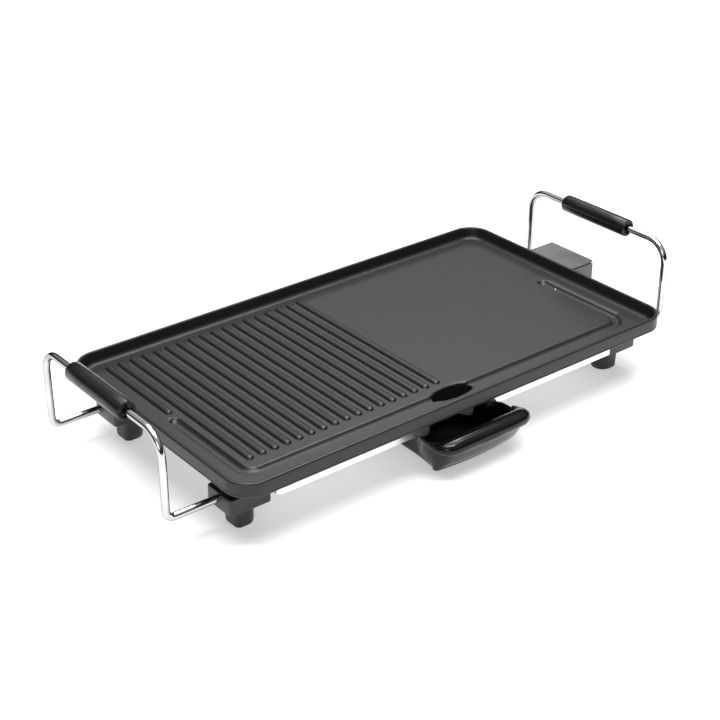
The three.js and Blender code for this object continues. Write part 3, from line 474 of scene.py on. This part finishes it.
def leg_outline(inset):
    """Flat on its outer side and round on its inner side."""
    size = LEG_RADIUS - inset
    flat = size * LEG_CORNER_SHARE
    points = []
    for centre_x, centre_y, radius, start, turn in (
        (LEG_X + size - flat, LEG_Y - size + flat, flat, -90, 90),
        (LEG_X + size - flat, LEG_Y + size - flat, flat, 0, 90),
        (LEG_X, LEG_Y, size, 90, 180),
    ):
        steps = 6 if turn == 90 else 16
        for step in range(steps + 1):
            angle = math.radians(start + turn * step / steps)
            points.append((
                centre_x + radius * math.cos(angle),
                centre_y + radius * math.sin(angle),
            ))
    return points


for end, side_x in (("left", -1), ("right", 1)):
    for depth, side_y in (("front", -1), ("back", 1)):
        bracket = bmesh.new()
        middle_x = (BRACKET_INNER + BRACKET_OUTER) / 2
        middle_y = (BRACKET_BACK + BRACKET_FRONT) / 2
        half_x = (BRACKET_OUTER - BRACKET_INNER) / 2
        half_y = (BRACKET_FRONT - BRACKET_BACK) / 2
        stack(bracket, [
            (
                rounded_loop(
                    half_x - inset, half_y - inset, BRACKET_CORNER - inset, middle_x, middle_y, 6,
                ),
                height,
            )
            for inset, height in (
                (1.3, BRACKET_BOTTOM), (0.4, BRACKET_BOTTOM + 0.35), (0, BRACKET_BOTTOM + 1.3),
                (0, BRACKET_SHELF - 1.3), (0.4, BRACKET_SHELF - 0.35), (1.3, BRACKET_SHELF),
            )
        ])
        stack(bracket, [
            (
                rounded_loop(
                    half_x - RISER_INSET_X, half_y - RISER_INSET_Y, RISER_CORNER,
                    middle_x - RISER_INSET_X, middle_y, 6,
                ),
                height,
            )
            for height in (BRACKET_SHELF - 1, BRACKET_TOP)
        ])
        stack(bracket, [
            (leg_outline(inset), height)
            for inset, height in ((1.6, 1), (1.0, 1.2), (0.7, 2.2), (0, BRACKET_BOTTOM + 1))
        ])
        bracket.transform(Matrix.Diagonal((side_x, side_y, 1, 1)))
        if side_x * side_y < 0:
            bmesh.ops.reverse_faces(bracket, faces=bracket.faces)
        name = f"{depth}_{end}"
        finish_piece(
            f"leg_bracket_{name}", bracket, moulded.material, [f"bracket_{name}"],
        )

# ---- Foot pads ----
# A round grey-black rubber pad under each leg, so the griddle can't slide on the table.
# Each is moulded, and pressed into the leg's underside.
rubber = Finish("foot_rubber", roughness=0.85, specular=0.3)
rubber.colour(rubber.colours(rubber.noise(90, 4), (0.3, 0.012), (0.7, 0.024)))
rubber.bump(rubber.noise(900, 3), 0.00005, 0.6)
PAD_RADIUS = 7.5


def circle(radius, x=0, y=0, sides=36):
    return [
        (x + radius * math.cos(math.tau * i / sides), y + radius * math.sin(math.tau * i / sides))
        for i in range(sides)
    ]


for end, side_x in (("left", -1), ("right", 1)):
    for depth, side_y in (("front", -1), ("back", 1)):
        pad = bmesh.new()
        stack(pad, [
            (circle(PAD_RADIUS - inset, side_x * LEG_X, side_y * LEG_Y), height)
            for inset, height in ((1.0, 0), (0.3, 0.2), (0, 0.8), (0, 4))
        ])
        name = f"{depth}_{end}"
        finish_piece(f"rubber_pad_{name}", pad, rubber.material, [f"foot_pad_{name}"])

# ---- Handle wires ----
# One bent and chromed steel rod at each end. Its two feet run into the brackets' slots,
# and its top carries the grip.
WIRE_RADIUS = 3.1
WIRE_X = PLATE_HALF_LENGTH + 39
WIRE_Y = 86.2
WIRE_LOW = 32.8
WIRE_HIGH = 103.8
WIRE_TOP_BEND = 20
WIRE_LOW_BEND = 7
WIRE_JOIN = 60
WIRE_IN_BRACKET = 20

chrome = Finish("chromed_steel", roughness=0.06, metallic=1.0)
chrome.shader.inputs["Specular Tint"].default_value = (0.25, 0.25, 0.26, 1)
chrome.colour(chrome.colours(
    chrome.noise(30, 3), (0.35, (0.50, 0.505, 0.515)), (0.65, (0.60, 0.605, 0.61)),
))
chrome.roughness(chrome.noise(350, 5), 0.035, 0.09)
chrome.bump(chrome.noise(45, 2), 0.00004, 0.25)


def bent_path(corners, radii, steps=12):
    """Points along a line whose corners are rounded, each to its own radius."""
    path = [Vector(corners[0])]
    for before, corner, after, radius in zip(corners, corners[1:], corners[2:], radii):
        corner = Vector(corner)
        back = (Vector(before) - corner).normalized()
        on = (Vector(after) - corner).normalized()
        half = back.angle(on) / 2
        centre = corner + (back + on).normalized() * radius / math.sin(half)
        start = corner + back * radius / math.tan(half) - centre
        axis = start.cross(corner + on * radius / math.tan(half) - centre).normalized()
        for step in range(steps + 1):
            turn = Matrix.Rotation((math.pi - 2 * half) * step / steps, 3, axis)
            path.append(centre + turn @ start)
    path.append(Vector(corners[-1]))
    return path


def tube(mesh, path, radius, across, sides=20):
    """A round rod along a flat path. across is the direction square to the path's plane."""
    across = Vector(across)
    loops = []
    for i, point in enumerate(path):
        along = (path[min(i + 1, len(path) - 1)] - path[max(i - 1, 0)]).normalized()
        other = along.cross(across).normalized()
        loops.append([
            mesh.verts.new(point + radius * (across * math.cos(turn) + other * math.sin(turn)))
            for turn in (math.tau * k / sides for k in range(sides))
        ])
    for first, second in zip(loops, loops[1:]):
        bridge(mesh, first, second)
    close_loop(mesh, loops[0], upwards=False)
    close_loop(mesh, loops[-1], upwards=True)


for end, side in (("left", -1), ("right", 1)):
    wire = bmesh.new()
    near_foot = bent_path(
        [
            (side * (BRACKET_OUTER - WIRE_IN_BRACKET), -WIRE_Y, WIRE_LOW),
            (side * WIRE_X, -WIRE_Y, WIRE_LOW),
            (side * WIRE_X, -WIRE_Y, WIRE_JOIN),
        ],
        [WIRE_LOW_BEND],
    )
    far_foot = [Vector((point.x, -point.y, point.z)) for point in reversed(near_foot)]
    loop = bent_path(
        [
            (side * WIRE_X, -WIRE_Y, WIRE_JOIN),
            (side * WIRE_X, -WIRE_Y, WIRE_HIGH),
            (side * WIRE_X, WIRE_Y, WIRE_HIGH),
            (side * WIRE_X, WIRE_Y, WIRE_JOIN),
        ],
        [WIRE_TOP_BEND, WIRE_TOP_BEND],
    )
    tube(wire, near_foot, WIRE_RADIUS, (0, 1, 0))
    tube(wire, loop, WIRE_RADIUS, (1, 0, 0))
    tube(wire, far_foot, WIRE_RADIUS, (0, 1, 0))
    bmesh.ops.recalc_face_normals(wire, faces=wire.faces)
    finish_piece(f"chrome_wire_{end}", wire, chrome.material, [f"handle_wire_{end}"])

# ---- Handle grips ----
# A straight tube of heat-proof black plastic, moulded round each wire.
# Both of its ends have a shallow seat round the wire.
GRIP_HALF = 39.5
GRIP_RADIUS = 8.1
GRIP_BORE = 5.2
grip_plastic = Finish("grip_plastic", roughness=0.3, specular=0.28)
grip_plastic.colour(grip_plastic.colours(
    grip_plastic.noise(20, 3), (0.35, 0.004), (0.65, 0.007),
))
grip_plastic.roughness(grip_plastic.noise(90, 2), 0.26, 0.30)
grip_plastic.bump(grip_plastic.noise(1300, 2), 0.00001, 0.3)

for end, side in (("left", -1), ("right", 1)):
    grip = bmesh.new()
    half_profile = [
        (WIRE_RADIUS, GRIP_HALF - 2.2), (4.6, GRIP_HALF - 2.2), (5.0, GRIP_HALF - 2.0),
        (GRIP_BORE, GRIP_HALF - 1.4), (GRIP_BORE + 0.1, GRIP_HALF - 0.5),
        (GRIP_BORE + 0.4, GRIP_HALF - 0.1), (GRIP_BORE + 0.9, GRIP_HALF),
        (GRIP_RADIUS - 1.0, GRIP_HALF), (GRIP_RADIUS - 0.35, GRIP_HALF - 0.3),
        (GRIP_RADIUS, GRIP_HALF - 1.1), (GRIP_RADIUS + 0.12, GRIP_HALF * 0.5),
    ]
    profile = half_profile + [(radius, -along) for radius, along in reversed(half_profile)]
    rings = []
    for radius, along in profile:
        rings.append([
            grip.verts.new((side * WIRE_X + across, along, WIRE_HIGH + up))
            for across, up in circle(radius, sides=48)
        ])
    for first, second in zip(rings, rings[1:]):
        bridge(grip, first, second)
    bmesh.ops.recalc_face_normals(grip, faces=grip.faces)
    finish_piece(
        f"moulded_grip_{end}", grip, grip_plastic.material, [f"handle_grip_{end}"],
    )

# ---- Drip tray ----
# A glossy black moulding that slides in from the front to catch the fat. It widens where it
# comes out from under the plate, and its front leans out to a thick rounded pull. Two flanges
# carry it on the rails.
TRAY_BOTTOM = 4
TRAY_RIM = 31
TRAY_BACK = -10
NECK_HALF = 37
NECK_RIM = 27.4
TRAY_FRONT = -PLATE_HALF_WIDTH - 1.1
TRAY_FRONT_LEAN = 17.5
TRAY_BOW = 2.4
TRAY_HALF = 46
TRAY_FOOT_HALF = 42.5
RIM_BAND = 5
LEAN_CURVE = 0.25
FOOT_CORNER = 4.5
RIM_CORNER_EXTRA = 9
LEAST_CORNER = 1.5
FLANGE_HALF_WIDTH = 2.6
FLANGE_HALF_LENGTH = 43
FLANGE_CORNER = 0.6
FLANGE_Y = -55
PULL_LEFT = -49
PULL_RIGHT = 51
PULL_Y = -PLATE_HALF_WIDTH - 12
PULL_Z = 31.5
PULL_HALF_HEIGHT = 7
PULL_HALF_DEPTH = 8.5
PULL_END_DROP = 2
PULL_SIDES = 40

gloss = Finish("glossy_black_plastic", roughness=0.07, specular=0.25)
gloss.colour(gloss.colours(gloss.noise(12, 2), (0.35, 0.003), (0.65, 0.006)))
gloss.roughness(gloss.noise(180, 5), 0.05, 0.10)
gloss.bump(gloss.noise(30, 2), 0.0001, 0.12)

# Along each side wall: place, half width at the foot and at the rim, and the rim's height.
SIDE_WALL = [
    (TRAY_BACK, 36.0, 37.0, 26.0),
    (-18, 36.0, 37.0, NECK_RIM),
    (-60, 36.5, 37.0, NECK_RIM),
    (-98, 37.6, 37.9, NECK_RIM),
    (-103.5, 38.0, 39.4, NECK_RIM),
    (-106, 38.3, 41.5, 29.0),
    (-109, 38.6, 43.8, TRAY_RIM),
    (-113, 39.0, 45.8, TRAY_RIM),
    (-119, 39.9, 46.0, TRAY_RIM),
    (-124, 41.2, 46.0, TRAY_RIM),
]
CORNER_STEPS = 6
FRONT_STEPS = 22


def tray_points(inset, share, lift):
    """One closed loop of the wall, share of the way up from the foot to the rim."""
    front = TRAY_FRONT - TRAY_FRONT_LEAN * share * (1 + LEAN_CURVE - LEAN_CURVE * share) + inset
    half = TRAY_FOOT_HALF + (TRAY_HALF - TRAY_FOOT_HALF) * share - inset
    corner = max(FOOT_CORNER + RIM_CORNER_EXTRA * share - 0.8 * inset, LEAST_CORNER)
    right = [
        (foot + (rim - foot) * share - inset, y, top)
        for y, foot, rim, top in SIDE_WALL
    ]
    right[0] = (right[0][0], TRAY_BACK - inset, right[0][2])
    for step in range(CORNER_STEPS + 1):
        turn = math.radians(90 * step / CORNER_STEPS)
        x = half - corner + corner * math.cos(turn)
        right.append((x, front + corner - corner * math.sin(turn), TRAY_RIM))
    span = half - corner
    points = list(right)
    for step in range(1, FRONT_STEPS):
        x = span * (1 - 2 * step / FRONT_STEPS)
        points.append((x, front - TRAY_BOW * (1 - (x / span) ** 2), TRAY_RIM))
    points += [(-x, y, top) for x, y, top in reversed(right)]
    return [(x, y, TRAY_BOTTOM + (top - TRAY_BOTTOM) * share + lift) for x, y, top in points]


# Over the wall, from under the foot to the inside floor: distance in, share of the way up
# and lift. The rim is rolled over into a band.
WALL_LOOPS = [
    (2.6, 0, 0), (1.3, 0, 0.35), (0.4, 0, 1.2), (0, 0, 2.6),
    (0, 0.25, 0), (0, 0.5, 0), (0, 0.7, 0), (0, 0.84, 0), (-0.25, 0.90, 0), (-0.3, 0.95, 0),
    (0.1, 0.99, -0.1), (0.9, 1.0, 0.45), (2.0, 1.0, 0.65), (3.2, 1.0, 0.5),
    (RIM_BAND - 0.8, 1.0, 0),
    (RIM_BAND - 0.2, 0.96, 0), (RIM_BAND, 0.88, 0), (RIM_BAND, 0.5, 0), (RIM_BAND, 0.14, 0),
    (RIM_BAND + 1.5, 0.085, 0),
]
tray = bmesh.new()
tray_loops = [
    [tray.verts.new(point) for point in tray_points(inset, share, lift)]
    for inset, share, lift in WALL_LOOPS
]
for lower, upper in zip(tray_loops, tray_loops[1:]):
    bridge(tray, lower, upper)
close_loop(tray, tray_loops[0], upwards=False)
close_loop(tray, tray_loops[-1], upwards=True)
for side in (-1, 1):
    stack(tray, [
        (
            rounded_loop(
                FLANGE_HALF_WIDTH - inset, FLANGE_HALF_LENGTH - inset, FLANGE_CORNER,
                side * (NECK_HALF + 0.9), FLANGE_Y, 3,
            ),
            height,
        )
        for inset, height in ((0.3, 25.8), (0, 26.1), (0, 27.1), (0.3, 27.4))
    ])
# The pull's left end, which curves back into the rim: place along the tray, distance
# behind the pull's middle line, and size.
PULL_END = [
    (4.2, 17.5, 0.05), (4.2, 17.2, 0.30), (4.3, 13.5, 0.42), (4.8, 9.6, 0.55),
    (5.9, 6.2, 0.70), (7.5, 3.4, 0.83), (9.8, 1.4, 0.93), (13.0, 0.3, 0.99),
]
pull_path = [(PULL_LEFT + along, PULL_Y + behind, size) for along, behind, size in PULL_END]
pull_path += [(x, PULL_Y, 1.0) for x in (-25, -8, 8, 25)]
pull_path += [
    (PULL_RIGHT - along, PULL_Y + behind, size) for along, behind, size in reversed(PULL_END)
]
pull_rings = []
for i, (x, y, size) in enumerate(pull_path):
    before, after = pull_path[max(i - 1, 0)], pull_path[min(i + 1, len(pull_path) - 1)]
    along = Vector((after[0] - before[0], after[1] - before[1], 0)).normalized()
    outwards = Vector((along.y, -along.x, 0))
    middle = Vector((x, y, PULL_Z - PULL_END_DROP * (1 - size)))
    pull_rings.append([
        tray.verts.new(
            middle
            + outwards * PULL_HALF_DEPTH * size * math.cos(turn)
            + Vector((0, 0, PULL_HALF_HEIGHT * size * math.sin(turn)))
        )
        for turn in (math.tau * k / PULL_SIDES for k in range(PULL_SIDES))
    ])
for first, second in zip(pull_rings, pull_rings[1:]):
    bridge(tray, first, second)
close_loop(tray, pull_rings[0], upwards=False)
close_loop(tray, pull_rings[-1], upwards=True)
bmesh.ops.recalc_face_normals(tray, faces=tray.faces)
finish_piece(
    "tray_moulding", tray, gloss.material, ["drip_tray"], body="drip_tray", sharp=50,
)

# ---- Socket shroud and its cover ----
# A folded steel box, stove-enamelled dark grey, that shades the terminals at the right end.
# A separate folded cover stands a little proud of it, so a thin dark gap shows between them.
enamel = Finish("grey_stove_enamel", roughness=0.38, specular=0.5)
enamel_drift = enamel.noise(25, 4)
enamel.colour(enamel.colours(enamel_drift, (0.35, 0.075), (0.65, 0.10)))
enamel.roughness(enamel.noise(300, 4), 0.30, 0.42)
enamel.bump(enamel.noise(520, 3), 0.00005, 0.4)


def dress(name, material, slot_name, rounding=0.0):
    """Gives a CAD node its finish, and rounds its edges where it is a folded or moulded shape."""
    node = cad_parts[name]
    node.data.materials.clear()
    node.data.materials.append(material)
    if rounding:
        bevel = node.modifiers.new("rounding", "BEVEL")
        bevel.width = rounding * MM
        bevel.segments = 2
        bevel.limit_method = "ANGLE"
        bevel.angle_limit = math.radians(50)


dress("socket_shroud", enamel.material, "painted", 0.35)
dress("shroud_cover", enamel.material, "painted", 0.4)

# ---- Reflector pan and tray rails ----
# The pan is one bright pressed aluminium sheet that throws the element's heat back up.
# The two rails under it, and the plate behind the terminals, are of plain steel sheet.
bright = Finish("bright_pressed_sheet", roughness=0.3, metallic=1.0)
bright.colour(bright.colours(
    bright.noise(40, 3), (0.35, (0.86, 0.86, 0.85)), (0.65, (0.94, 0.94, 0.94)),
))
bright.roughness(bright.noise(120, 4, stretch=(0.1, 4, 1)), 0.25, 0.4)
bright.bump(bright.noise(1200, 2, stretch=(0.05, 3, 1)), 0.00003, 0.4)
dress("reflector_pan", bright.material, "bright", 0.3)

steel = Finish("plain_steel", roughness=0.3, metallic=1.0)
steel.colour(steel.colours(
    steel.noise(50, 3), (0.3, (0.50, 0.505, 0.515)), (0.7, (0.62, 0.625, 0.63)),
))
steel.roughness(steel.noise(260, 4), 0.22, 0.4)
steel.bump(steel.noise(900, 3), 0.00003, 0.4)
for name in ("tray_rail_left", "tray_rail_right", "terminal_plate"):
    dress(name, steel.material, "steel", 0.25)

# ---- Element, terminals and probe guide ----
# The element is a sheathed rod swaged into the plate's ridge, oxidised dark. Its two cold ends
# carry plated pins in ceramic rings, with the thermostat's guide tube between them.
sheath = Finish("oxidised_sheath", roughness=0.55, metallic=0.9)
sheath.colour(sheath.colours(
    sheath.noise(70, 4), (0.3, (0.10, 0.098, 0.10)), (0.7, (0.19, 0.17, 0.155)),
))
sheath.roughness(sheath.noise(180, 4), 0.42, 0.65)
sheath.bump(sheath.noise(700, 4), 0.00005, 0.5)
dress("heating_element", sheath.material, "element")

ceramic = Finish("cream_ceramic", roughness=0.45, specular=0.5)
ceramic.colour(ceramic.colours(
    ceramic.noise(160, 4), (0.3, (0.72, 0.68, 0.58)), (0.7, (0.84, 0.81, 0.73)),
))
ceramic.bump(ceramic.noise(800, 3), 0.00004, 0.5)
for place in ("front", "back"):
    dress(f"ceramic_insulator_{place}", ceramic.material, "ceramic", 0.3)
    dress(f"terminal_pin_{place}", steel.material, "steel", 0.6)
dress("probe_guide", steel.material, "steel", 0.2)

# ---- Screws ----
# Plated steel pan-head screws, driven from below. The cross recess is formed in the head
# and narrows towards its floor.
SCREW_SIDES = 24
SCREW_STEP = 360 // SCREW_SIDES
ARM_HALF_ANGLE = 15
RECESS_FLOOR = 0.44
RECESS_MOUTH = 0.55
RECESS_DEPTH = 0.5
HEAD_RISE = 0.66
SHANK = 0.52


def cross_loop(reach, x, y):
    """The outline of a cross, point for point in step with a circle of as many sides."""
    loop = []
    for step in range(SCREW_SIDES):
        turn = math.radians(step * SCREW_STEP)
        fold = min(step * SCREW_STEP % 90, 90 - step * SCREW_STEP % 90)
        if fold <= ARM_HALF_ANGLE:
            out = reach / math.cos(math.radians(fold))
        else:
            out = reach * math.tan(math.radians(ARM_HALF_ANGLE)) / math.sin(math.radians(fold))
        loop.append((x + out * math.cos(turn), y + out * math.sin(turn)))
    return loop


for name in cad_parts:
    if "screw" in name:
        low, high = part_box(name)
        middle_x = (low.x + high.x) / 2 / MM
        middle_y = ((low.y + high.y) / 2 - PLATE_MIDDLE_Y) / MM
        head = (high.x - low.x) / 2 / MM
        bottom, top = low.z / MM, high.z / MM
        rise = head * HEAD_RISE
        shank = head * SHANK
        screw = bmesh.new()
        stack(screw, [
            (cross_loop(head * RECESS_FLOOR, middle_x, middle_y), bottom + rise * RECESS_DEPTH),
            (cross_loop(head * RECESS_MOUTH, middle_x, middle_y), bottom),
        ] + [
            (circle(radius, middle_x, middle_y, SCREW_SIDES), height)
            for radius, height in (
                (head * 0.64, bottom), (head * 0.8, bottom + rise * 0.12),
                (head * 0.95, bottom + rise * 0.45), (head, bottom + rise * 0.8),
                (head, bottom + rise), (shank, bottom + rise), (shank, top - 1),
                (shank * 0.35, top),
            )
        ])
        finish_piece(f"cross_{name}", screw, steel.material, [name])

# ---- Floor and light ----
# A plain pale studio table, and soft lamps above it, behind it on the right and in front
# on the left. A narrow lamp over the front draws the bright line along the tray's pull.
TABLE_RADIUS = 9000
floor_mesh = bmesh.new()
close_loop(floor_mesh, add_loop(floor_mesh, circle(TABLE_RADIUS, sides=96), 0), upwards=True)
floor_data = bpy.data.meshes.new("table")
floor_mesh.transform(Matrix.Scale(MM, 4))
floor_mesh.to_mesh(floor_data)
floor_mesh.free()
table = bpy.data.objects.new("table", floor_data)
bpy.context.scene.collection.objects.link(table)
paper = Finish("pale_table", roughness=0.7, specular=0.25)
paper.colour(paper.colours(paper.noise(3, 2), (0.3, 0.60), (0.7, 0.605)))
paper.shader.inputs["Emission Color"].default_value = (1, 1, 1, 1)
paper.shader.inputs["Emission Strength"].default_value = 0.42
floor_data.materials.append(paper.material)


def soft_light(name, place, target, size, power):
    data = bpy.data.lights.new(name, "AREA")
    data.shape = "RECTANGLE"
    data.size, data.size_y = size
    data.energy = power
    lamp = bpy.data.objects.new(name, data)
    lamp.location = place
    lamp.rotation_euler = (Vector(place) - Vector(target)).to_track_quat("Z", "Y").to_euler()
    bpy.context.scene.collection.objects.link(lamp)


# Name, place, the point it faces, size (all in metres) and power in watts.
for lamp_values in (
    ("key", (1.3, 1.2, 2.5), (0, 0, 0.05), (1.0, 0.8), 34),
    ("rear", (1.5, 1.9, 1.5), (0, 0, 0.05), (1.5, 0.8), 4.5),
    ("strip", (-0.3, -0.6, 1.9), (0, -0.1, 0.03), (1.5, 0.14), 22),
    ("top", (0.1, 0.1, 2.4), (0, 0, 0), (2.6, 2.2), 78),
    ("fill", (-2.0, -1.6, 1.1), (0, 0, 0.05), (1.4, 1.0), 12),
):
    soft_light(*lamp_values)

# The studio is dim round the sides and pale overhead, so bright metal has something to reflect.
world = bpy.data.worlds.new("studio")
world.use_nodes = True
sky = world.node_tree
direction = sky.nodes.new("ShaderNodeTexCoord").outputs["Generated"]
height = sky.nodes.new("ShaderNodeSeparateXYZ")
sky.links.new(direction, height.inputs["Vector"])
shade = sky.nodes.new("ShaderNodeValToRGB")
shade.color_ramp.elements[0].position = 0.3
shade.color_ramp.elements[0].color = (0.03, 0.03, 0.03, 1)
shade.color_ramp.elements[1].position = 0.75
shade.color_ramp.elements[1].color = (0.6, 0.6, 0.6, 1)
sky.links.new(height.outputs["Z"], shade.inputs["Fac"])
sky.links.new(shade.outputs["Color"], sky.nodes["Background"].inputs["Color"])
sky.nodes["Background"].inputs["Strength"].default_value = 1.0
bpy.context.scene.world = world
